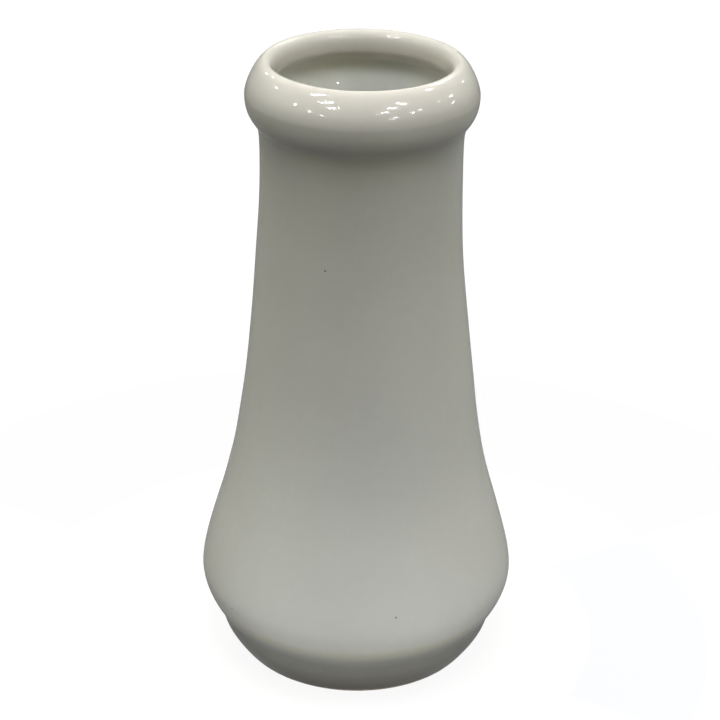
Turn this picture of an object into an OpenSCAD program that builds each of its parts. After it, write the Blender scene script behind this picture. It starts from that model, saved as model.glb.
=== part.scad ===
// Tall flower vase in white porcelain: a rolled collar round the mouth, a slim
// neck that widens into a low round belly, and a banded foot under it.
// The clay body is one casting. Its glaze coats are thin layers of their own:
// outside, inside, and in the hollow under the base. The edge it stands on is
// bare clay.

/* [Overall] */
// Height of the vase, from the standing edge to the top of the lip
vase_h = 151.5; // [140:0.5:170]

/* [Foot] */
// Diameter of the foot where it meets the table
foot_d = 58.6; // [56:0.2:61]
// Diameter of the foot band, at the crease under the belly
band_d = 68; // [67:0.2:69]
// Height of the crease between the foot band and the belly
crease_z = 9.6; // [9:0.1:10.4]
// Inner diameter of the ring that the vase stands on
ring_in_d = 51.6; // [46:0.2:52]
// Depth of the hollow under the base
hollow_z = 2.6; // [1.5:0.1:3]

/* [Belly] */
// Largest diameter of the belly
belly_d = 77.1; // [75:0.1:82]
// Height of the largest diameter
belly_z = 20.5; // [19.5:0.1:23]

/* [Neck] */
// Smallest diameter of the neck
neck_d = 46.9; // [45:0.1:49]
// Distance from the top of the lip down to the smallest diameter
neck_drop = 22.5; // [21:0.5:28]

/* [Collar and mouth] */
// Largest diameter of the rolled collar
collar_d = 53.6; // [52:0.2:57]
// Diameter of the mouth at its narrowest, inside the lip
mouth_d = 39.8; // [38.6:0.2:40.6]
// Diameter of the ridge line along the top of the lip
lip_d = 44.4; // [43.4:0.2:45]

/* [Thickness] */
// Thickness of the cast wall
wall_t = 4; // [3.4:0.1:4.4]
// Thickness of the floor
floor_t = 4.4; // [3.6:0.1:5]
// Thickness of the glaze coat
glaze_t = 0.3; // [0.2:0.05:0.4]
// Width of the bare clay left above the standing edge
bare_h = 0.9; // [0.6:0.1:1.4]

/* [Smoothness] */
// Straight steps that stand for one curve of the outline
steps = 8; // [6:1:12]
// Sides of the round body
facets = 128; // [48:8:192]

/* [Hidden] */

foot_r = foot_d / 2;
band_r = band_d / 2;
belly_r = belly_d / 2;
neck_r = neck_d / 2;
collar_r = collar_d / 2;
mouth_r = mouth_d / 2;
lip_r = lip_d / 2;
ring_in_r = ring_in_d / 2;
neck_z = vase_h - neck_drop;
floor_z = hollow_z + floor_t;

// A station on the long sweep from belly to neck: k is its share of the
// difference in radius, h its share of the difference in height.
function sweep(k, h) = [
    neck_r + k * (belly_r - neck_r),
    belly_z + h * (neck_z - belly_z)
];

// The outline is a chain of cubic curves, each [start, pull, pull, end] in
// [radius, height]. It runs from the foot up the outside, over the lip, and
// down the inside to the middle of the floor.

// Foot: flares up from the standing edge to a steeper band.
foot_curves = [
    [[foot_r + 0.75, bare_h], [foot_r + 2.2, bare_h + 2],
     [band_r - 0.6, crease_z - 4], [band_r - 0.2, crease_z - 1.8]],
    [[band_r - 0.2, crease_z - 1.8], [band_r - 0.07, crease_z - 1.1],
     [band_r, crease_z - 0.6], [band_r + 0.1, crease_z - 0.1]]
];

// Crease: a small fillet where the belly starts.
crease_curves = [
    [[band_r + 0.1, crease_z - 0.1], [band_r + 0.2, crease_z + 0.4],
     [band_r + 0.45, crease_z + 0.9], [band_r + 0.8, crease_z + 1.35]]
];

// Belly: rolls out to its widest, then sweeps up and in to the neck.
belly_curves = [
    [[band_r + 0.8, crease_z + 1.35], [band_r + 2, crease_z + 2.9],
     [belly_r, belly_z - 3.6], [belly_r, belly_z]],
    [[belly_r, belly_z], sweep(1, 0.035),
     sweep(0.865, 0.097), sweep(0.7, 0.175)],
    [sweep(0.7, 0.175), sweep(0.583, 0.229),
     sweep(0.487, 0.281), sweep(0.415, 0.34)]
];

// Neck: a long, slightly hollow taper to the narrowest place.
neck_curves = [
    [sweep(0.415, 0.34), sweep(0.313, 0.423),
     sweep(0.228, 0.53), sweep(0.158, 0.622)],
    [sweep(0.158, 0.622), sweep(0.068, 0.742),
     [neck_r, neck_z - 14], [neck_r, neck_z]]
];

// Collar: a soft fillet out of the neck, a round roll, and the lip.
collar_curves = [
    [[neck_r, neck_z], [neck_r, vase_h - 15.9],
     [collar_r - 2.97, vase_h - 15.3], [collar_r - 1.8, vase_h - 13.7]],
    [[collar_r - 1.8, vase_h - 13.7], [collar_r - 0.6, vase_h - 12.05],
     [collar_r, vase_h - 10.5], [collar_r, vase_h - 7.9]],
    [[collar_r, vase_h - 7.9], [collar_r, vase_h - 5.65],
     [lip_r + 1.75, vase_h], [lip_r, vase_h]],
    [[lip_r, vase_h], [lip_r - 1.2, vase_h],
     [mouth_r + 0.2, vase_h - 1.6], [mouth_r, vase_h - 4.5]]
];

// Inside: a soft groove behind the lip, a ledge back to the neck, then the
// same sweep as the outside one wall thickness in, down to a flat floor.
in_neck_r = neck_r - wall_t;
groove_r = mouth_r + 2;
function inner(k, h) = sweep(k, h) - [wall_t, 0];
inner_curves = [
    [[mouth_r, vase_h - 4.5], [mouth_r - 0.05, vase_h - 5.3],
     [groove_r - 1.6, vase_h - 5.9], [groove_r - 0.85, vase_h - 6.6]],
    [[groove_r - 0.85, vase_h - 6.6], [groove_r - 0.3, vase_h - 7.1],
     [groove_r, vase_h - 7.4], [groove_r, vase_h - 8]],
    [[groove_r, vase_h - 8], [groove_r, vase_h - 10.6],
     [in_neck_r, vase_h - 12.9], [in_neck_r, vase_h - 17.5]],
    [[in_neck_r, vase_h - 17.5], [in_neck_r, neck_z - 14],
     inner(0.068, 0.742), inner(0.158, 0.622)],
    [inner(0.158, 0.622), inner(0.228, 0.53),
     inner(0.313, 0.423), inner(0.415, 0.34)],
    [inner(0.415, 0.34), inner(0.487, 0.281),
     inner(0.583, 0.229), inner(0.7, 0.175)],
    [inner(0.7, 0.175), inner(0.865, 0.097),
     inner(1, 0.035), inner(1, 0)],
    [inner(1, 0), [belly_r - wall_t, belly_z - 2.5],
     [band_r - 1.5, crease_z + 4.5], [band_r - 2.6, crease_z + 3.3]],
    [[band_r - 2.6, crease_z + 3.3], [band_r - 3.6, crease_z + 2.2],
     [band_r - 4.2, crease_z + 1], [band_r - 4.4, crease_z - 0.2]],
    [[band_r - 4.4, crease_z - 0.2], [band_r - 4.6, floor_z + 1.2],
     [band_r - 6, floor_z], [band_r - 8.4, floor_z]],
    [[band_r - 8.4, floor_z], [band_r - 16, floor_z],
     [8, floor_z], [0, floor_z]]
];

function point(c, t) = pow(1 - t, 3) * c[0] + 3 * pow(1 - t, 2) * t * c[1]
    + 3 * (1 - t) * t * t * c[2] + t * t * t * c[3];

// The points along a chain of curves, both ends included.
function chain(cs) = [
    for (c = cs) for (i = [0 : steps - 1]) point(c, i / steps),
    cs[len(cs) - 1][3]
];

out_curves = concat(foot_curves, crease_curves, belly_curves, neck_curves,
    collar_curves);
skin = chain(concat(out_curves, inner_curves));
last = len(skin) - 1;
throat = len(out_curves) * steps;

// Direction of the outline at point i, and the unit normal out of the clay.
function along(i) = skin[min(i + 1, last)] - skin[max(i - 1, 0)];
function away(i) = let (d = along(i)) [d[1], -d[0]] / norm(d);

// The clay surface under the glaze, point for point.
clay = [for (i = [0 : last]) skin[i] - glaze_t * away(i)];

// The thin ring between the glaze surface and the clay, from point a to b.
function coat(a, b) = concat(
    [for (i = [a : b]) skin[i]],
    [for (i = [b : -1 : a]) clay[i]]
);

// Standing ring and the hollow under the base, from the axis outwards.
under = [
    [0, hollow_z + glaze_t],
    [ring_in_r - 1.4, hollow_z + glaze_t],
    [ring_in_r - 1.4, hollow_z],
    [ring_in_r - 0.9, hollow_z - 0.3],
    [ring_in_r - 0.3, 0.5],
    [ring_in_r, 0.15],
    [ring_in_r + 0.3, 0],
    [foot_r - 0.3, 0],
    [foot_r + 0.05, 0.1],
    [foot_r + 0.3, 0.35]
];

module porcelain_body()
    color([0.90, 0.89, 0.86])
        rotate_extrude($fn = facets)
            polygon(concat(under, clay));

module glaze_outside()
    color([0.93, 0.93, 0.91])
        rotate_extrude($fn = facets)
            polygon(coat(0, throat));

module glaze_inside()
    color([0.88, 0.88, 0.85])
        rotate_extrude($fn = facets)
            polygon(coat(throat, last));

module base_glaze()
    color([0.91, 0.91, 0.88])
        translate([0, 0, hollow_z])
            cylinder(r = ring_in_r - 1.4, h = glaze_t, $fn = facets);

porcelain_body();
glaze_outside();
glaze_inside();
base_glaze();
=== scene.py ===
import math

import bmesh
import bpy
import numpy as np
from mathutils import Matrix, Vector


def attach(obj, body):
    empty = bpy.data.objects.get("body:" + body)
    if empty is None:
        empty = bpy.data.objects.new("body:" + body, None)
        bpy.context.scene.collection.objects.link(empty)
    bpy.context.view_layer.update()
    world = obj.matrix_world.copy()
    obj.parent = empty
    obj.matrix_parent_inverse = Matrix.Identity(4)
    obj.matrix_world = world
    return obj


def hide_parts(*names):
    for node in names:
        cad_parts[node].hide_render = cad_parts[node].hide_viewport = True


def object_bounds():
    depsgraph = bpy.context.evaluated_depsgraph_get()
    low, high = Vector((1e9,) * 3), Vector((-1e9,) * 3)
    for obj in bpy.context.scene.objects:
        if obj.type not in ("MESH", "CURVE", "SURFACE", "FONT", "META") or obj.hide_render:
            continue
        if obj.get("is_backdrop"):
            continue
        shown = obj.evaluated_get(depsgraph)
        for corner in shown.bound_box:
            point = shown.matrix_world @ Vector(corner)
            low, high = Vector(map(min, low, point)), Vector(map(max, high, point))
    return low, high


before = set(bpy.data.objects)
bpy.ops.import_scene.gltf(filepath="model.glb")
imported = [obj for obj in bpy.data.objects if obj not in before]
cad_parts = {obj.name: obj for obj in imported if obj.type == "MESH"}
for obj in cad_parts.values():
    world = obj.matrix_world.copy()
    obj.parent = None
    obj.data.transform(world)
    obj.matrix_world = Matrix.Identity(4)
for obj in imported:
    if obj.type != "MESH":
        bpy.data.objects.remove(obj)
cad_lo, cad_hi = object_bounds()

MM = 0.001
scene = bpy.context.scene

# ---------------------------------------------------------------- outline
# The vase's own measures in millimetres, as the CAD model has them. Heights
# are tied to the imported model's box.
H = (cad_hi.z - cad_lo.z) / MM
FOOT, BAND, BELLY, NECK = 29.3, 34.0, 38.55, 23.45
COLLAR, MOUTH, LIP = 26.8, 19.9, 22.2
BELLY_Z, NECK_Z, CREASE = 20.5, H - 22.5, 9.6
WALL, GLAZE, BARE = 4.0, 0.3, 0.9
HOLLOW, FLOOR, RING_IN = 2.6, 7.0, 25.8


def sweep(k, h, d=0.0):
    return (NECK + k * (BELLY - NECK) - d, BELLY_Z + h * (NECK_Z - BELLY_Z))


OUTER = [
    [(FOOT + .75, BARE), (FOOT + 2.2, BARE + 2), (BAND - .6, CREASE - 4), (BAND - .2, CREASE - 1.8)],
    [(BAND - .2, CREASE - 1.8), (BAND - .07, CREASE - 1.1), (BAND, CREASE - .6), (BAND + .1, CREASE - .1)],
    [(BAND + .1, CREASE - .1), (BAND + .2, CREASE + .4), (BAND + .45, CREASE + .9), (BAND + .8, CREASE + 1.35)],
    [(BAND + .8, CREASE + 1.35), (BAND + 2, CREASE + 2.9), (BELLY, BELLY_Z - 3.6), (BELLY, BELLY_Z)],
    [(BELLY, BELLY_Z), sweep(1, .035), sweep(.865, .097), sweep(.7, .175)],
    [sweep(.7, .175), sweep(.583, .229), sweep(.487, .281), sweep(.415, .34)],
    [sweep(.415, .34), sweep(.313, .423), sweep(.228, .53), sweep(.158, .622)],
    [sweep(.158, .622), sweep(.068, .742), (NECK, NECK_Z - 14), (NECK, NECK_Z)],
    [(NECK, NECK_Z), (NECK, H - 15.9), (COLLAR - 2.97, H - 15.3), (COLLAR - 1.8, H - 13.7)],
    [(COLLAR - 1.8, H - 13.7), (COLLAR - .6, H - 12.05), (COLLAR, H - 10.5), (COLLAR, H - 7.9)],
    [(COLLAR, H - 7.9), (COLLAR, H - 5.65), (LIP + 1.75, H), (LIP, H)],
    [(LIP, H), (LIP - 1.2, H), (MOUTH + .2, H - 1.6), (MOUTH, H - 4.5)],
]
GROOVE = MOUTH + 2
IN_NECK = NECK - WALL
INNER = [
    [(MOUTH, H - 4.5), (MOUTH - .05, H - 5.3), (GROOVE - 1.6, H - 5.9), (GROOVE - .85, H - 6.6)],
    [(GROOVE - .85, H - 6.6), (GROOVE - .3, H - 7.1), (GROOVE, H - 7.4), (GROOVE, H - 8)],
    [(GROOVE, H - 8), (GROOVE, H - 10.6), (IN_NECK, H - 12.9), (IN_NECK, H - 17.5)],
    [(IN_NECK, H - 17.5), (IN_NECK, NECK_Z - 14), sweep(.068, .742, WALL), sweep(.158, .622, WALL)],
    [sweep(.158, .622, WALL), sweep(.228, .53, WALL), sweep(.313, .423, WALL), sweep(.415, .34, WALL)],
    [sweep(.415, .34, WALL), sweep(.487, .281, WALL), sweep(.583, .229, WALL), sweep(.7, .175, WALL)],
    [sweep(.7, .175, WALL), sweep(.865, .097, WALL), sweep(1, .035, WALL), sweep(1, 0, WALL)],
    [sweep(1, 0, WALL), (BELLY - WALL, BELLY_Z - 2.5), (BAND - 1.5, CREASE + 4.5), (BAND - 2.6, CREASE + 3.3)],
    [(BAND - 2.6, CREASE + 3.3), (BAND - 3.6, CREASE + 2.2), (BAND - 4.2, CREASE + 1), (BAND - 4.4, CREASE - .2)],
    [(BAND - 4.4, CREASE - .2), (BAND - 4.6, FLOOR + 1.2), (BAND - 6, FLOOR), (BAND - 8.4, FLOOR)],
    [(BAND - 8.4, FLOOR), (BAND - 16, FLOOR), (8, FLOOR), (0, FLOOR)],
]


def chain(curves, gap):
    """Points and unit normals along a chain of cubic curves, about gap apart."""
    pts, nrm = [], []
    for ci, c in enumerate(curves):
        c = np.array(c, float)
        length = np.linalg.norm(np.diff(c, axis=0), axis=1).sum()
        n = max(4, int(math.ceil(length / gap)))
        ts = np.arange(n + (1 if ci == len(curves) - 1 else 0)) / n
        for t in ts:
            s = 1 - t
            p = s**3 * c[0] + 3 * s * s * t * c[1] + 3 * s * t * t * c[2] + t**3 * c[3]
            d = s * s * (c[1] - c[0]) + 2 * s * t * (c[2] - c[1]) + t * t * (c[3] - c[2])
            d = d / np.linalg.norm(d)
            pts.append(p)
            nrm.append((d[1], -d[0]))
    return np.array(pts), np.array(nrm)


# ---------------------------------------------------------------- relief
# What a cast, hand-finished pot has and a lathe-turned one doesn't: its wall
# isn't quite round or straight. All of it is in millimetres.
rng = np.random.default_rng(11)
WAVES = []
for n in range(16):
    length = 9.0 * (42 / 9.0) ** (n / 15)
    d = rng.normal(size=3)
    WAVES.append((d / np.linalg.norm(d) * 2 * math.pi / length, rng.uniform(0, 2 * math.pi),
                  0.003 * (length / 9.0) ** 1.1))
# Small dents: where, how wide and how deep.
DENTS = [((12.4, -26.6, 59.8), 3.2, .05)]


def shift(z):
    """How far the vase's middle stands off its axis at height z."""
    return (-.17 * np.exp(-((z - 105) / 11) ** 2) + .18 * np.exp(-((z - 74) / 10.5) ** 2)
            - .09 * np.exp(-((z - 48) / 5) ** 2))


def relief(p):
    """How far the wall stands out from its true place at each point of p."""
    out = np.zeros(p.shape[:-1])
    for k, phase, amp in WAVES:
        out += amp * np.sin(p @ k + phase)
    for at, wide, deep in DENTS:
        d2 = ((p - np.array(at)) ** 2).sum(-1)
        out -= deep * np.exp(-d2 / (wide / 2) ** 2)
    return out * np.clip((p[..., 2] - 1.5) / 6, 0, 1)


# ---------------------------------------------------------------- meshes
SEG = 288
ANG = np.arange(SEG) / SEG * 2 * math.pi
COS, SIN = np.cos(ANG), np.sin(ANG)


def turn(profile, normals):
    """The grid of points of a turned surface, with the relief on it."""
    r, z = profile[:, 0][:, None], profile[:, 1][:, None]
    p = np.stack([r * COS, r * SIN, z + 0 * COS], -1)
    nr, nz = normals[:, 0][:, None], normals[:, 1][:, None]
    n = np.stack([nr * COS, nr * SIN, nz + 0 * COS], -1)
    p = p + n * relief(p)[..., None]
    p[..., 0] += shift(p[..., 2])
    return p


def grid_normals(p):
    """Unit normals of a grid of points, from the grid itself."""
    du = np.roll(p, -1, 1) - np.roll(p, 1, 1)
    dv = np.gradient(p, axis=0)
    n = np.cross(du, dv)
    length = np.linalg.norm(n, axis=-1, keepdims=True)
    return n / np.where(length < 1e-12, 1, length)


def build(name, rows, closed, smooth=(0, 0), normals=None, marks=None):
    """A mesh from rows of points. A row is (SEG, 3), or (1, 3) on the axis.

    Faces between rows smooth[0] and smooth[1] take the given normals, so two
    pieces that meet along a row show no seam. marks are numbers per row.
    """
    start, verts, row_of = [], [], []
    for i, r in enumerate(rows):
        start.append(len(row_of))
        verts.append(r)
        row_of += [i] * len(r)
    verts = np.vstack(verts)
    row_of = np.array(row_of)
    faces, face_row = [], []
    n = len(rows)
    for i in range(n if closed else n - 1):
        j = (i + 1) % n
        s0, s1, m0, m1 = start[i], start[j], len(rows[i]), len(rows[j])
        if m0 == 1 and m1 == 1:
            continue
        for k in range(SEG):
            k2 = (k + 1) % SEG
            if m0 == 1:
                faces.append((s0, s1 + k2, s1 + k))
            elif m1 == 1:
                faces.append((s0 + k, s0 + k2, s1))
            else:
                faces.append((s0 + k, s0 + k2, s1 + k2, s1 + k))
            face_row.append(i)
    me = bpy.data.meshes.new(name)
    me.from_pydata((verts * MM).tolist(), [], faces)
    me.update()
    me.shade_smooth()
    if normals is not None:
        vn = np.zeros(len(verts) * 3, np.float32)
        me.vertex_normals.foreach_get("vector", vn)
        vn = vn.reshape(-1, 3)
        given = np.vstack(normals)
        lv = np.zeros(len(me.loops), np.int32)
        me.loops.foreach_get("vertex_index", lv)
        sizes = np.array([len(f) for f in faces])
        lf = np.repeat(np.array(face_row), sizes)
        use = (lf >= smooth[0]) & (lf < smooth[1])
        ln = np.where(use[:, None], given[np.minimum(lv, len(given) - 1)], vn[lv])
        me.normals_split_custom_set(ln.tolist())
    for key, values in (marks or {}).items():
        at = me.attributes.new(key, "FLOAT", "POINT")
        at.data.foreach_set("value", np.asarray(values, np.float32)[row_of])
    ob = bpy.data.objects.new(name, me)
    scene.collection.objects.link(ob)
    return ob


out_p, out_n = chain(OUTER, 0.5)
in_p, in_n = chain(INNER, 0.8)
THROAT = len(out_p) - 1
full_p = np.vstack([out_p, in_p[1:]])
full_n = np.vstack([out_n, in_n[1:]])
LAST = len(full_p) - 1

# How hollow or edge-like the surface is along its outline: glaze runs thick in
# a hollow and thin over an edge. Both marks also paint shade into hollows and
# a highlight onto edges.
step = np.gradient(full_p, axis=0)
run = np.linalg.norm(step, axis=1)
head = np.unwrap(np.arctan2(step[:, 1], step[:, 0]))
bend = np.gradient(head) / run
arc = np.cumsum(run) - run[0]


def soften(values, wide):
    w = np.exp(-((arc[:, None] - arc[None, :]) / wide) ** 2) * run[None, :]
    return (w @ values) / w.sum(1)


edge_and_sheen_mark = np.clip(soften(bend, 1.6) * 3.2 - .35, 0, 1)
pool_and_shade_mark = np.clip(-soften(bend, 1.8) * 4.0, 0, 1)
on_outside = np.arange(LAST + 1) <= THROAT
height = full_p[:, 1]
# Painted shade: a dark band under the collar roll and a weaker one higher on the roll.
collar_shade = (np.exp(-((height - (H - 13.7)) / 1.9) ** 2) + .34 * np.exp(-((height - (H - 6.2)) / 1.6) ** 2)) * on_outside
band_mark = on_outside / (1 + np.exp((height - 14.9) / .75)) * (1 - .4 * np.exp(-(height / 4) ** 2))
# Painted light on the top of the roll, and the inner edge of the lip, where
# the coat has dried a little uneven.
front_light_mark = on_outside / (1 + np.exp((H - 5 - height) / 1.0)) * np.clip((full_p[:, 0] - LIP + .9) / 1.0, 0, 1)
lip_mark = np.exp(-((height - (H - .9)) / .8) ** 2) * on_outside * (full_p[:, 0] < LIP)
# Painted shade inside the lip: the glaze there is painted greyer.
mouth_mark = np.where(on_outside, np.clip((H - .5 - height) / 2.6, 0, 1) * (full_p[:, 0] < LIP),
                      np.clip(1 - (arc - arc[THROAT]) / 3.4, 0, 1))
line_mark = np.exp(-((height - 15.2) / 1.3) ** 2) * on_outside

wall = turn(full_p[:-1], full_n[:-1])            # all but the point on the axis
wall_n = grid_normals(wall)
axis_z = FLOOR + relief(np.array([[0.0, 0.0, FLOOR]]))[0]
axis_top = np.array([[shift(FLOOR), 0.0, axis_z]])
UP = np.array([[0.0, 0.0, 1.0]])

# The coarse rows of the hidden side of each glaze coat.
hide_out = list(range(0, THROAT, 5)) + [THROAT]
hide_in = list(range(THROAT, LAST, 4))


def back_of(i):
    return wall[i] - GLAZE * wall_n[i]


# Outside coat: its face, the cut at the throat, its hidden side, and a rolled
# lower edge where the melt stopped above the bare foot.
roll = []
for phi in np.linspace(math.pi, 0, 8)[1:-1]:
    mid = (wall[0] + back_of(0)) / 2
    down = wall[0] - wall[1]
    down /= np.linalg.norm(down, axis=-1, keepdims=True)
    roll.append(mid + GLAZE / 2 * (wall_n[0] * math.cos(phi) + down * math.sin(phi)))
rows = [wall[i] for i in range(THROAT + 1)] + [back_of(i) for i in reversed(hide_out)] + roll
index = list(range(THROAT + 1)) + list(reversed(hide_out)) + [0] * len(roll)
marks = {"edge": edge_and_sheen_mark[index], "pool": np.maximum(pool_and_shade_mark, 0)[index], "shade": collar_shade[index],
         "foot": band_mark[index], "line": line_mark[index], "front_light": front_light_mark[index], "lip": lip_mark[index],
         "mouth": mouth_mark[index]}
glaze_out = build("vase_outside_glaze", rows, True, (0, THROAT), [wall_n[i] for i in range(THROAT + 1)], marks)

# Inside coat: from the throat down to the middle of the floor.
n_in = LAST - THROAT
rows = [wall[i] for i in range(THROAT, LAST)] + [axis_top] + [axis_top - [0, 0, GLAZE]] + [back_of(i) for i in reversed(hide_in)]
index = list(range(THROAT, LAST)) + [LAST, LAST] + list(reversed(hide_in))
marks = {"edge": edge_and_sheen_mark[index], "pool": pool_and_shade_mark[index], "mouth": mouth_mark[index]}
glaze_in = build("vase_inside_glaze", rows, True, (0, n_in),
                 [wall_n[i] for i in range(THROAT, LAST)] + [UP], marks)

# Clay body: the bare standing ring, cut flat on the wheel, with the wall and
# floor that the glaze coats lie on.
ring_r = np.arange(RING_IN + .35, FOOT - .3, .11)
lathe = np.random.default_rng(5)
ring_z = np.clip(np.convolve(lathe.normal(size=len(ring_r) + 2), [.25, .5, .25], "valid") * .011 + .012, 0, .05)
under = np.vstack([
    [(RING_IN - 1.4, HOLLOW + GLAZE), (RING_IN - 1.4, HOLLOW), (RING_IN - 1.28, HOLLOW - .02),
     (RING_IN - 1.0, HOLLOW - .16), (RING_IN - .86, HOLLOW - .45), (RING_IN - .72, HOLLOW - .9),
     (RING_IN - .56, 1.2), (RING_IN - .4, .72), (RING_IN - .24, .38), (RING_IN, .15), (RING_IN + .22, .04)],
    np.c_[ring_r, ring_z],
    [(FOOT - .25, .0), (FOOT - .08, .03), (FOOT + .06, .1), (FOOT + .18, .21), (FOOT + .28, .36),
     (FOOT + .36, .56), (FOOT + .43, .8)],
])
lying = np.stack([under[:, 0][:, None] * COS, under[:, 0][:, None] * SIN, under[:, 1][:, None] + 0 * COS], -1)
# The wheel leaves a fine spiral of chatter on the ring.
flat = (under[:, 0] > RING_IN + .3) & (under[:, 0] < FOOT - .3)
lying[flat, :, 2] += .006 * (1 + np.sin(under[flat, 0][:, None] * 19 + 3 * ANG)) * (.6 + .4 * np.sin(23 * ANG))
axis_low = np.array([[0.0, 0.0, HOLLOW + GLAZE]])
deep = sorted(set(range(0, LAST, 4)) | set(range(0, 12)))
rows = [axis_low] + [lying[i] for i in range(len(under))] + [back_of(i) for i in deep] + [axis_top - [0, 0, GLAZE]]
clay = build("vase_clay_body", rows, False)

# Glaze in the hollow under the base: a shallow pool with a rounded rim.
rb = RING_IN - 1.4
disc_r = np.r_[np.linspace(1.2, rb - 1.6, 22), rb - np.array([1.1, .75, .5, .32, .2, .11, .05, .015])]
edge_in = rb - disc_r
disc_z = HOLLOW + .05 * (1 - np.exp(-edge_in / 1.6)) + .16 * np.clip(1 - edge_in / .2, 0, 1) ** 1.7
pool = np.stack([disc_r[:, None] * COS, disc_r[:, None] * SIN, disc_z[:, None] + 0 * COS], -1)
swell = np.zeros(pool.shape[:2])
for k, phase, amp in WAVES[:9]:
    swell += 3 * amp * np.sin(pool @ (k * 1.3) + phase)
pool[..., 2] += np.clip(swell, -.03, .06) * np.clip(edge_in[:, None] / 2, 0, 1)
top_ring = np.stack([rb * COS, rb * SIN, HOLLOW + GLAZE + 0 * COS], -1)
rows = ([np.array([[0.0, 0.0, HOLLOW + GLAZE]]), top_ring]
        + [pool[i] for i in reversed(range(len(disc_r)))] + [np.array([[0.0, 0.0, HOLLOW + .05]])])
base = build("vase_base_glaze", rows, False)
for ob in (clay, base):
    # These two are built from below, so their faces are turned outwards here.
    me = ob.data
    bm = bmesh.new()
    bm.from_mesh(me)
    bmesh.ops.recalc_face_normals(bm, faces=bm.faces)
    bm.to_mesh(me)
    bm.free()
    me.update()


# ---------------------------------------------------------------- materials
class Graph:
    """A short way to write a node tree."""

    def __init__(self, name):
        self.mat = bpy.data.materials.new(name)
        self.mat.use_nodes = True
        self.t = self.mat.node_tree
        self.bsdf = self.t.nodes["Principled BSDF"]
        self.where = self.t.nodes.new("ShaderNodeTexCoord").outputs["Object"]

    def put(self, socket, value):
        if isinstance(value, bpy.types.NodeSocket):
            self.t.links.new(value, socket)
        else:
            socket.default_value = value

    def attr(self, name):
        n = self.t.nodes.new("ShaderNodeAttribute")
        n.attribute_name = name
        return n.outputs["Fac"]

    def noise(self, scale, detail=2.0, rough=.5, where=None, stretch=None):
        n = self.t.nodes.new("ShaderNodeTexNoise")
        src = where or self.where
        if stretch:
            m = self.t.nodes.new("ShaderNodeMapping")
            self.t.links.new(src, m.inputs["Vector"])
            m.inputs["Scale"].default_value = stretch
            src = m.outputs[0]
        self.t.links.new(src, n.inputs["Vector"])
        n.inputs["Scale"].default_value = scale
        n.inputs["Detail"].default_value = detail
        n.inputs["Roughness"].default_value = rough
        return n.outputs[0]

    def math(self, op, a, b=0.0, clamp=False):
        n = self.t.nodes.new("ShaderNodeMath")
        n.operation = op
        n.use_clamp = clamp
        self.put(n.inputs[0], a)
        self.put(n.inputs[1], b)
        return n.outputs[0]

    def span(self, value, a, b, lo, hi, smooth=False):
        n = self.t.nodes.new("ShaderNodeMapRange")
        n.interpolation_type = "SMOOTHSTEP" if smooth else "LINEAR"
        self.put(n.inputs[0], value)
        for i, v in enumerate((a, b, lo, hi)):
            n.inputs[i + 1].default_value = v
        return n.outputs[0]

    def mix(self, factor, a, b, blend="MIX"):
        n = self.t.nodes.new("ShaderNodeMix")
        n.data_type = "RGBA"
        n.blend_type = blend
        self.put(n.inputs[0], factor)
        self.put(n.inputs[6], a)
        self.put(n.inputs[7], b)
        return n.outputs[2]

    def spot(self, at, radius, soft=.5):
        """1 inside radius of a point (both in mm), 0 outside."""
        n = self.t.nodes.new("ShaderNodeVectorMath")
        n.operation = "DISTANCE"
        self.t.links.new(self.where, n.inputs[0])
        n.inputs[1].default_value = [v * MM for v in at]
        return self.span(n.outputs["Value"], radius * soft * MM, radius * MM, 1.0, 0.0, True)

    def sprinkle(self, scale, share, radius, soft=.6):
        """Sparse round dots from a cell pattern: share of the cells hold one."""
        v = self.t.nodes.new("ShaderNodeTexVoronoi")
        self.t.links.new(self.where, v.inputs["Vector"])
        v.inputs["Scale"].default_value = scale
        inside = self.span(v.outputs["Distance"], radius * soft, radius, 1.0, 0.0, True)
        pick = self.t.nodes.new("ShaderNodeSeparateColor")
        self.t.links.new(v.outputs["Color"], pick.inputs[0])
        return self.math("MULTIPLY", inside, self.math("LESS_THAN", pick.outputs[0], share))

    def bump(self, height, distance, strength=1.0, under=None):
        n = self.t.nodes.new("ShaderNodeBump")
        n.inputs["Strength"].default_value = strength
        n.inputs["Distance"].default_value = distance
        self.t.links.new(height, n.inputs["Height"])
        if under is not None:
            self.t.links.new(under, n.inputs["Normal"])
        return n.outputs[0]


WHITE = (0.80, 0.80, 0.76, 1)
# Painted shade inside the mouth.
MOUTH_SHADE_TONE = (0.665, 0.645, 0.600, 1)


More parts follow.
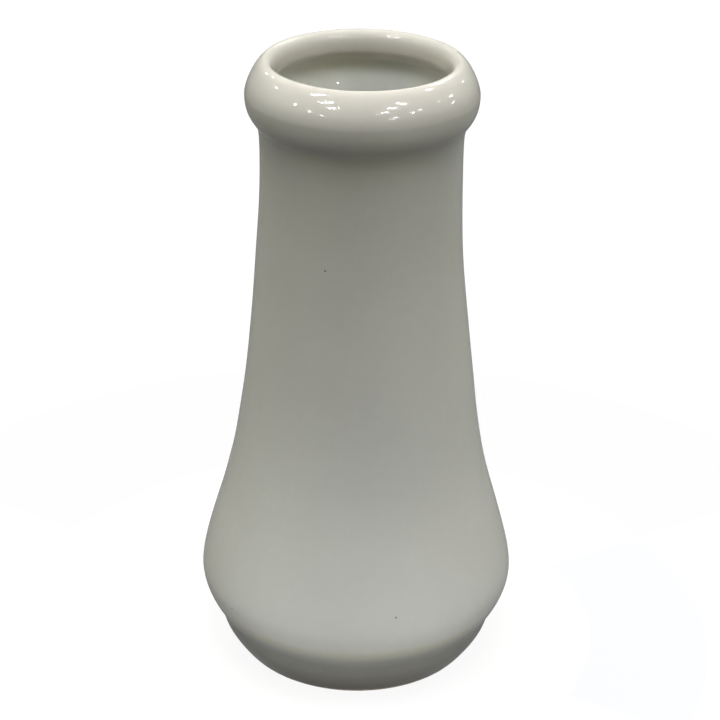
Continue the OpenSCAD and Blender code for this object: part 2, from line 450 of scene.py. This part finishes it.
def glaze(name, tone, marks, dark=(), light=(), pits=(), beads=(), satin=0.0, pool_and_shade_tone=(.80, .835, .78)):
    """Clear, glassy glaze over white clay.

    marks are the row marks that the mesh carries. dark, light, pits and beads
    are single spots, each (place, radius) in mm: dark spots are specks, light
    spots are painted glints. Beads are smooth drops in a coat that is satin
    round them.
    """
    g = Graph(name)
    cloud = g.span(g.noise(34, 2.5, .55), .25, .75, .972, 1.026)
    grain = g.span(g.noise(430, 3, .6), .25, .75, .986, 1.012)
    streak = g.span(g.noise(60, 3, .6, stretch=(1, 1, .22)), .3, .7, .99, 1.01)
    shade = g.math("MULTIPLY", g.math("MULTIPLY", cloud, grain), streak)
    col = g.mix(1.0, tone, shade, "MULTIPLY")
    # Thick glaze in a hollow is greyer and greener, and the same mark paints
    # shade into the hollow; thin glaze on an edge lets the warm clay show, and the
    # same mark paints a highlight onto the edge.
    pool = g.math("MULTIPLY", g.attr("pool"), g.span(g.noise(90, 2), .3, .7, .55, .95))
    col = g.mix(pool, col, (tone[0] * pool_and_shade_tone[0], tone[1] * pool_and_shade_tone[1], tone[2] * pool_and_shade_tone[2], 1))
    edge = g.math("MULTIPLY", g.attr("edge"), g.span(g.noise(120, 2), .3, .7, .25, .6))
    col = g.mix(edge, col, (tone[0] * 1.09, tone[1] * 1.06, tone[2] * 1.05, 1))
    rough = g.span(g.noise(140, 2), .3, .7, .07 + satin, .095 + satin * 1.3)
    # Painted shade under the collar roll and higher on the roll.
    if "shade" in marks:
        col = g.mix(g.math("MULTIPLY", g.attr("shade"), .93), col, (tone[0] * .62, tone[1] * .60, tone[2] * .56, 1))
    if "front_light" in marks:
        # Painted light: stronger towards the front.
        front_light = g.math("MULTIPLY", g.attr("front_light"), g.span(g.noise(110, 3, .6), .3, .7, .65, .95))
        sep = g.t.nodes.new("ShaderNodeSeparateXYZ")
        g.t.links.new(g.where, sep.inputs[0])
        front_light = g.math("MULTIPLY", front_light, g.span(sep.outputs["Y"], -18 * MM, -2 * MM, 1.0, 0.0, True))
        col = g.mix(front_light, col, (tone[0] * 1.13, tone[1] * 1.105, tone[2] * 1.10, 1))
    if "mouth" in marks:
        # Painted shade inside the lip and just below the throat.
        col = g.mix(g.attr("mouth"), col, MOUTH_SHADE_TONE)
    if "foot" in marks:
        # Below the crease the glaze is darker, greyer and rougher, and a darker,
        # warmer line runs along the crease.
        patch = g.span(g.noise(75, 3, .6), .3, .7, .9, 1.05)
        low = g.math("MULTIPLY", g.attr("foot"), patch)
        col = g.mix(low, col, (tone[0] * .545, tone[1] * .555, tone[2] * .57, 1))
        warm = g.math("MULTIPLY", g.attr("line"), g.span(g.noise(160, 3, .6), .3, .7, .35, .7))
        col = g.mix(warm, col, (tone[0] * .83, tone[1] * .79, tone[2] * .68, 1))
        rough = g.math("ADD", rough, g.math("MULTIPLY", g.attr("foot"), .13))
    fleck = g.sprinkle(190, .012, .055)
    col = g.mix(g.math("MULTIPLY", fleck, .55), col, (.20, .19, .16, 1))
    height = g.noise(330, 1.5, .45)
    for at, r in dark:
        col = g.mix(g.math("MULTIPLY", g.spot(at, r), .85), col, (.10, .095, .075, 1))
    # Painted glints: light spots stand in for small highlights.
    for at, r in light:
        col = g.mix(g.math("MULTIPLY", g.spot(at, r), .8), col, (.93, .93, .90, 1))
    g.put(g.bsdf.inputs["Base Color"], col)
    for at, r in beads:
        rough = g.math("MINIMUM", rough, g.span(g.spot(at, r, .8), 0, 1, 1, .05))
    g.put(g.bsdf.inputs["Roughness"], rough)
    g.bsdf.inputs["IOR"].default_value = 1.5
    # Orange peel, then fine pinholes, and the ripple inside the lip.
    n = g.bump(height, 0.5e-5)
    hole = g.sprinkle(260, .02, .05)
    for at, r in pits:
        hole = g.math("MAXIMUM", hole, g.spot(at, r, .2))
    n = g.bump(g.math("SUBTRACT", 1.0, hole), 5e-5, 1.0, n)
    if "lip" in marks:
        ripple = g.math("MULTIPLY", g.math("SUBTRACT", g.noise(650, 2, .5), .5), g.attr("lip"))
        n = g.bump(ripple, 4.5e-5, 1.0, n)
    g.put(g.bsdf.inputs["Normal"], n)
    return g.mat


outside = glaze(
    "outside_glaze", WHITE, ("shade", "front_light", "mouth", "foot", "lip"),
    dark=[((-7.8, -22.8, 109.3), .30), ((9.6, -36.5, 26.2), .30), ((-29.9, -24.3, 20.2), .22)],
    light=[((14.2, -22.9, 78.7), .26), ((-11.9, -24.0, 78.9), .2), ((-11.1, -24.3, 141.7), .24)],
    pits=[((14.2, -22.9, 78.7), .4), ((-7.8, -22.8, 109.3), .4)],
)
# The inside coat has a darker tone than the outside: painted shade inside the vase.
inside = glaze("inside_glaze", (0.765, 0.765, 0.725, 1), ("mouth",), beads=[((-5.78, 19.62, 138.91), .42)], satin=.29,
               pool_and_shade_tone=(.90, .92, .90))
base_mat = glaze("base_glaze", (0.79, 0.79, 0.745, 1), ())


def bare_clay(name):
    """Unglazed porcelain: matt, close-grained, rubbed grey where it stands."""
    g = Graph(name)
    z = g.t.nodes.new("ShaderNodeSeparateXYZ")
    g.t.links.new(g.where, z.inputs[0])
    cloud = g.span(g.noise(120, 3, .6), .25, .75, .93, 1.04)
    grain = g.span(g.noise(2600, 2, .7), .25, .75, .94, 1.05)
    col = g.mix(1.0, (.70, .672, .60, 1), g.math("MULTIPLY", cloud, grain), "MULTIPLY")
    # A faint toasted line just under the glaze edge, and grey rubbing on the
    # flat that meets the table.
    flash = g.span(z.outputs["Z"], .35 * MM, 1.0 * MM, 0.0, 1.0, True)
    flash = g.math("MULTIPLY", flash, g.span(g.noise(200, 2), .3, .7, .25, .7))
    col = g.mix(flash, col, (.60, .50, .37, 1))
    rub = g.span(z.outputs["Z"], 0.0, .12 * MM, 1.0, 0.0, True)
    rub = g.math("MULTIPLY", rub, g.span(g.noise(160, 4, .7), .42, .62, .1, .75))
    col = g.mix(rub, col, (.40, .385, .35, 1))
    iron = g.sprinkle(900, .03, .16)
    col = g.mix(g.math("MULTIPLY", iron, .7), col, (.22, .16, .10, 1))
    g.put(g.bsdf.inputs["Base Color"], col)
    g.put(g.bsdf.inputs["Roughness"], g.span(g.noise(900, 2), .3, .7, .62, .85))
    g.bsdf.inputs["IOR"].default_value = 1.45
    n = g.bump(g.noise(1500, 4, .7), 3.5e-5)
    g.put(g.bsdf.inputs["Normal"], n)
    return g.mat


clay_mat = bare_clay("bare_clay")

for ob, node, slot, mat in (
    (glaze_out, "glaze_outside", "outside_glaze", outside),
    (glaze_in, "glaze_inside", "inside_glaze", inside),
    (clay, "porcelain_body", "bare_porcelain", clay_mat),
    (base, "base_glaze", "base_glaze", base_mat),
):
    ob.data.materials.append(mat)
    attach(ob, "root")
    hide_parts(node)

# ---------------------------------------------------------------- camera
cam_data = bpy.data.cameras.new("camera")
cam = bpy.data.objects.new("camera", cam_data)
scene.collection.objects.link(cam)
cam_data.sensor_width = 36.0
cam_data.lens = 105.3
cam.matrix_world = (
    Matrix.Translation(Vector((0.283, -454.5, 301.64)) * MM)
    @ Matrix.Rotation(math.radians(90 - 26.42), 4, "X")
    @ Matrix.Rotation(math.radians(0.769), 4, "Z")
)
cam_data.clip_start, cam_data.clip_end = 0.01, 100
scene.camera = cam

# ---------------------------------------------------------------- light
AIM = Vector((0, 0, .08))


def lamp(name, el, az, colour, watts=10.0, size=.55, away=1.5):
    """A soft round light. Azimuth 0 is in front of the vase and 90 to its right."""
    a, e = math.radians(az), math.radians(el)
    d = Vector((math.sin(a) * math.cos(e), -math.cos(a) * math.cos(e), math.sin(e)))
    ld = bpy.data.lights.new(name, "AREA")
    ld.shape = "DISK"
    ld.size = size
    peak = max(colour)
    ld.energy = watts * peak
    ld.color = [c / peak for c in colour]
    lo = bpy.data.objects.new(name, ld)
    scene.collection.objects.link(lo)
    lo.location = AIM + d * away
    lo.rotation_mode = "QUATERNION"
    lo.rotation_quaternion = (-d).to_track_quat("-Z", "Y")
    lo.visible_glossy = False
    lo.visible_camera = False
    return lo


SOFT = [
    (90, 0, (.32, .28, .40)), (70, 0, (.540, .560, .555)), (70, 60, (.345, .379, .400)), (70, 120, (.30, .22, .10)),
    (70, 240, (.545, .532, .400)), (70, 300, (.240, .260, .240)),
    (48, 90, (.033, .038, .025)), (25, 45, (.125, .104, .040)), (25, 90, (.180, .200, .215)), (25, 270, (.350, .338, .280)),
    (5, 0, (.114, .090, .064)), (5, 45, (.043, .043, .050)), (5, 135, (.309, .329, .269)),
    (25, 180, (.14, .14, .14)), (25, 225, (.12, .12, .12)), (25, 135, (.12, .12, .12)), (5, 180, (.15, .15, .15)),
]
for el, az, colour in SOFT:
    lamp("soft_%d_%d" % (el, az), el, az, colour)


# A light from under the table for the standing ring and the base alone.
below = bpy.data.collections.new("seen_from_below")
for ob in (clay, base):
    below.objects.link(ob)
lamp("under", -75, 20, (.62, .62, .60)).light_linking.receiver_collection = below


def glow(name, r0, r1, a0, a1, colour):
    """Light that a pale table throws back up: part of a ring, seen by nothing but the glaze."""
    steps = max(3, int(abs(a1 - a0) / 5))
    vs = []
    for r in (r0, r1):
        for k in range(steps + 1):
            a = math.radians(a0 + (a1 - a0) * k / steps)
            vs.append((r * MM * math.sin(a), -r * MM * math.cos(a), 1e-4))
    n = steps + 1
    me = bpy.data.meshes.new(name)
    me.from_pydata(vs, [], [(k, k + 1, n + k + 1, n + k) for k in range(steps)])
    ob = bpy.data.objects.new(name, me)
    scene.collection.objects.link(ob)
    m = bpy.data.materials.new(name)
    m.use_nodes = True
    t = m.node_tree
    t.nodes.clear()
    e = t.nodes.new("ShaderNodeEmission")
    e.inputs["Color"].default_value = (*[c / max(colour) for c in colour], 1)
    e.inputs["Strength"].default_value = max(colour)
    t.links.new(e.outputs[0], t.nodes.new("ShaderNodeOutputMaterial").inputs["Surface"])
    me.materials.append(m)
    ob.visible_camera = ob.visible_glossy = ob.visible_shadow = False
    ob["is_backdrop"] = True


glow("table_front_edge", 46, 60, -50, 50, (.70, .67, .50))
glow("table_front_near", 60, 90, -55, 55, (1.25, 1.34, 1.48))
glow("table_front_far", 90, 150, -60, 60, (.33, .42, .42))
glow("table_right", 60, 90, 60, 120, (.20, .26, .33))
glow("table_back_near", 60, 90, 120, 240, (1.2, 1.2, 1.2))
glow("table_back_far", 90, 150, 120, 240, (.25, .25, .25))

# Rows of small ceiling lights. They only show as short bright dashes in the
# gloss: (x, y, length, width) in mm, 1.5 m above the table, and the turn in
# degrees.
CEILING = [
    (-915, -433, 500, 90, 1), (-1051, -1121, 510, 85, -6), (-1001, -1615, 470, 80, 0),
    (879, -2065, 580, 85, 27), (1065, -1578, 460, 85, 11), (1197, -1136, 460, 85, -7),
    (1249, 192, 320, 90, 5), (973, 921, 430, 110, -3), (879, 1459, 260, 150, 8), (742, 1929, 260, 150, -33),
    (1779, -2843, 560, 130, 54), (2429, -1908, 260, 100, 29), (2612, -1499, 240, 100, 40),
    (-2870, -885, 380, 90, -26), (-2483, -1807, 260, 105, -28), (-2064, -2475, 220, 110, -16),
    (3270, -187, 150, 130, 0), (4140, 920, 240, 200, 0), (4840, 4257, 380, 330, 0),
    (5860, -1128, 320, 230, 0), (6500, 1280, 460, 300, 0), (-5800, -545, 400, 160, 0),
    (-2716, 833, 180, 150, 0), (-2238, 2580, 260, 220, 0), (-1718, 1540, 420, 55, 0),
]
for i, (x, y, lx, ly, turned) in enumerate(CEILING):
    ld = bpy.data.lights.new("ceiling_%02d" % i, "AREA")
    ld.shape = "RECTANGLE"
    ld.size, ld.size_y = lx * MM, ly * MM
    ld.energy = 44 * math.pi * ld.size * ld.size_y
    lo = bpy.data.objects.new("ceiling_%02d" % i, ld)
    scene.collection.objects.link(lo)
    lo.location = (x * MM, y * MM, 1.5)
    lo.rotation_euler = (0, 0, math.radians(turned))
    lo.visible_diffuse = False
    lo.visible_camera = False

# What the gloss sees of the room: a pale table below, dark above.
world = bpy.data.worlds.new("studio")
scene.world = world
world.use_nodes = True
wt = world.node_tree
wt.nodes.clear()
coord = wt.nodes.new("ShaderNodeTexCoord")
sep = wt.nodes.new("ShaderNodeSeparateXYZ")
wt.links.new(coord.outputs["Generated"], sep.inputs[0])
ramp_in = wt.nodes.new("ShaderNodeMapRange")
wt.links.new(sep.outputs["Z"], ramp_in.inputs[0])
ramp_in.inputs[1].default_value, ramp_in.inputs[2].default_value = -1, 1
ramp = wt.nodes.new("ShaderNodeValToRGB")
wt.links.new(ramp_in.outputs[0], ramp.inputs[0])
el = ramp.color_ramp.elements
el[0].position, el[0].color = 0, (.26, .26, .26, 1)
el[1].position, el[1].color = 1, (0, 0, 0, 1)
for at, v in ((.25, .28), (.4, .19), (.5, .11), (.62, .03), (.75, 0)):
    e = el.new(at)
    e.color = (v, v, v, 1)
back = wt.nodes.new("ShaderNodeBackground")
wt.links.new(ramp.outputs[0], back.inputs["Color"])
wt.links.new(back.outputs[0], wt.nodes.new("ShaderNodeOutputWorld").inputs["Surface"])
world.cycles_visibility.diffuse = False
world.cycles_visibility.camera = False


# ---------------------------------------------------------------- floor
def plain(name, pale, glow_by, two_sided):
    m = bpy.data.materials.new(name)
    m.use_nodes = True
    t = m.node_tree
    t.nodes.clear()
    out = t.nodes.new("ShaderNodeOutputMaterial")
    e = t.nodes.new("ShaderNodeEmission")
    e.inputs["Strength"].default_value = glow_by
    if pale:
        d = t.nodes.new("ShaderNodeBsdfDiffuse")
        d.inputs["Color"].default_value = (pale, pale, pale, 1)
        add = t.nodes.new("ShaderNodeAddShader")
        t.links.new(d.outputs[0], add.inputs[0])
        t.links.new(e.outputs[0], add.inputs[1])
        shown = add.outputs[0]
    else:
        shown = e.outputs[0]
    if not two_sided:
        # Seen from underneath, the floor isn't there, so the base shows.
        geo = t.nodes.new("ShaderNodeNewGeometry")
        clear = t.nodes.new("ShaderNodeBsdfTransparent")
        mix = t.nodes.new("ShaderNodeMixShader")
        t.links.new(geo.outputs["Backfacing"], mix.inputs[0])
        t.links.new(shown, mix.inputs[1])
        t.links.new(clear.outputs[0], mix.inputs[2])
        shown = mix.outputs[0]
    t.links.new(shown, out.inputs["Surface"])
    return m


me = bpy.data.meshes.new("floor")
me.from_pydata([(-8, -8, -2e-5), (8, -8, -2e-5), (8, 8, -2e-5), (-8, 8, -2e-5)], [], [(0, 1, 2, 3)])
floor = bpy.data.objects.new("floor", me)
me.materials.append(plain("floor", .12, .92, False))
scene.collection.objects.link(floor)

bpy.ops.mesh.primitive_uv_sphere_add(segments=48, ring_count=24, radius=5)
dome = bpy.context.object
dome.name = "backdrop"
dome.data.materials.append(plain("backdrop", 0, 1.0, True))
for ob in (floor, dome):
    ob.visible_diffuse = ob.visible_glossy = ob.visible_shadow = False
    ob.visible_transmission = False
    ob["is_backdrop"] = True

scene.view_settings.view_transform = "Standard"

lo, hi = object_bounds()
